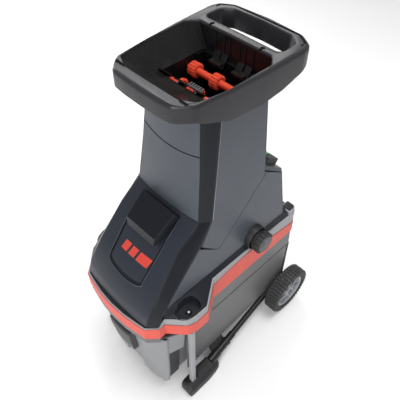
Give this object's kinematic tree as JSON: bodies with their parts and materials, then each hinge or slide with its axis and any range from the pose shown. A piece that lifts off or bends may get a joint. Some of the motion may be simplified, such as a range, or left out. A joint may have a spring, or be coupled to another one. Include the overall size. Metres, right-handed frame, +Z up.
{
  "type": "wood chipper",
  "caption": "Electric garden wood chipper: top feed hopper with a rear handle loop, tapering tower, motor hood, drum cutter with adjusting knob, pull-out collection bin, wheels and feet.",
  "frame": {"origin": "on the floor, under the middle of the bounding box", "axes": "+Z up, -Y towards the collection bin (front), +X towards the side with the adjusting knob"},
  "size_m": [0.408, 0.6172, 0.96],
  "materials": {
    "hopper_black": "fine moulded grain, satin black",
    "housing_grey": "satin mid blue-grey",
    "hood_blue_grey": "semi-gloss dark blue-grey",
    "base_grey": "satin light grey",
    "wall_grey": "satin dark grey",
    "trim_red": "satin coral red",
    "feed_red": "satin bright red-orange",
    "frame_black": "black powder coat",
    "inner_black": "plain black moulding",
    "soft_black": "matt black",
    "tyre_black": "hard tread with fine blocks",
    "rim_grey": "satin grey moulding",
    "steel": "machined steel",
    "cast_metal": "as-cast alloy",
    "start_green": "gloss green",
    "stop_red": "gloss red"
  },
  "bodies": {
    "chassis": {"axle": "steel", "base_deck": "base_grey", "corner_pillar_left": "hood_blue_grey", "corner_pillar_right": "hood_blue_grey", "corner_post_left": "base_grey", "corner_post_right": "base_grey", "cutting_chamber": "cast_metal", "drum_bearing_front": "steel", "drum_bearing_rear": "steel", "feed_duct": "inner_black", "feed_funnel": "hopper_black", "front_foot_left": "soft_black", "front_foot_right": "soft_black", "gear_case": "cast_metal", "hood_cowl": "hood_blue_grey", "hopper_rim": "hopper_black", "lower_rim": "base_grey", "lower_side_left": "housing_grey", "lower_side_right": "housing_grey", "machine_floor": "inner_black", "mains_inlet": "inner_black", "motor_can": "cast_metal", "motor_hood": "hood_blue_grey", "rear_cover": "housing_grey", "rear_leg_left": "frame_black", "rear_leg_right": "frame_black", "rear_wall": "wall_grey", "run_capacitor": "soft_black", "side_tube_left": "frame_black", "side_tube_right": "frame_black", "side_wall_left": "wall_grey", "side_wall_right": "wall_grey", "switch_housing": "soft_black", "throat_frame": "hopper_black", "tower_back": "housing_grey", "tower_front_lower": "housing_grey", "tower_front_upper": "housing_grey", "tower_side_left": "housing_grey", "tower_side_right": "housing_grey", "trim_band": "trim_red"},
    "bin": {"bin_body": "base_grey", "bin_front": "base_grey", "bin_grip": "soft_black"},
    "wheel_right": {"tyre_right": "tyre_black", "wheel_rim_right": "rim_grey"},
    "wheel_left": {"tyre_left": "tyre_black", "wheel_rim_left": "rim_grey"},
    "drum": {"cutter_drum": "steel", "drum_gear": "steel"},
    "idler": {"idler_gear": "steel"},
    "rotor": {"motor_rotor": "steel", "motor_pinion": "steel"},
    "knob": {"adjuster_knob": "soft_black", "adjuster_screw": "steel"},
    "plate": {"pressure_plate": "steel"},
    "roller_rear": {"rear_roller": "feed_red"},
    "roller_front": {"front_roller": "feed_red"},
    "start": {"start_button": "start_green"},
    "stop": {"stop_button": "stop_red"},
    "dial": {"direction_dial": "soft_black"}
  },
  "joints": [
    {"name": "bin_slide", "type": "slide", "parent": "chassis", "child": "bin", "axis": [0, -1, 0], "range_m": [0, 0.3]},
    {"name": "wheel_right_spin", "type": "hinge", "parent": "chassis", "child": "wheel_right", "pos_m": [0.1822, 0.2245, 0.0842], "axis": [1, 0, 0], "continuous": true},
    {"name": "wheel_left_spin", "type": "hinge", "parent": "chassis", "child": "wheel_left", "pos_m": [-0.1822, 0.2245, 0.0842], "axis": [1, 0, 0], "continuous": true},
    {"name": "drum_spin", "type": "hinge", "parent": "chassis", "child": "drum", "pos_m": [-0.035, 0, 0.47], "axis": [0, 1, 0], "continuous": true},
    {"name": "idler_spin", "type": "hinge", "parent": "chassis", "child": "idler", "pos_m": [0.00693, 0, 0.45366], "axis": [0, 1, 0], "continuous": true},
    {"name": "rotor_spin", "type": "hinge", "parent": "chassis", "child": "rotor", "pos_m": [0.02, 0, 0.425], "axis": [0, 1, 0], "continuous": true},
    {"name": "knob_turn", "type": "hinge", "parent": "chassis", "child": "knob", "pos_m": [0.15, 0.07, 0.46], "axis": [-1, 0, 0], "range_deg": [0, 1080]},
    {"name": "plate_slide", "type": "slide", "parent": "chassis", "child": "plate", "axis": [-1, 0, 0], "range_m": [0, 0.00455]},
    {"name": "rear_roller_spin", "type": "hinge", "parent": "chassis", "child": "roller_rear", "pos_m": [0, 0.0575, 0.874], "axis": [1, 0, 0], "continuous": true},
    {"name": "front_roller_spin", "type": "hinge", "parent": "chassis", "child": "roller_front", "pos_m": [0, 0.002, 0.866], "axis": [1, 0, 0], "continuous": true},
    {"name": "start_press", "type": "slide", "parent": "chassis", "child": "start", "axis": [0, -0.5794, -0.815], "range_m": [0, 0.003], "stiffness_N_per_m": 400, "springref_m": -0.001},
    {"name": "stop_press", "type": "slide", "parent": "chassis", "child": "stop", "axis": [0, -0.5794, -0.815], "range_m": [0, 0.003], "stiffness_N_per_m": 400, "springref_m": -0.001},
    {"name": "direction_turn", "type": "hinge", "parent": "chassis", "child": "dial", "pos_m": [-0.012, 0.1649, 0.64815], "axis": [0, 0.5794, 0.815], "range_deg": [-45, 45]}
  ],
  "couplings": [
    {"joint": "idler_spin", "follows": "drum_spin", "ratio": -4},
    {"joint": "rotor_spin", "follows": "drum_spin", "ratio": 16},
    {"joint": "knob_turn", "follows": "plate_slide", "rad_per_m": 4140}
  ]
}
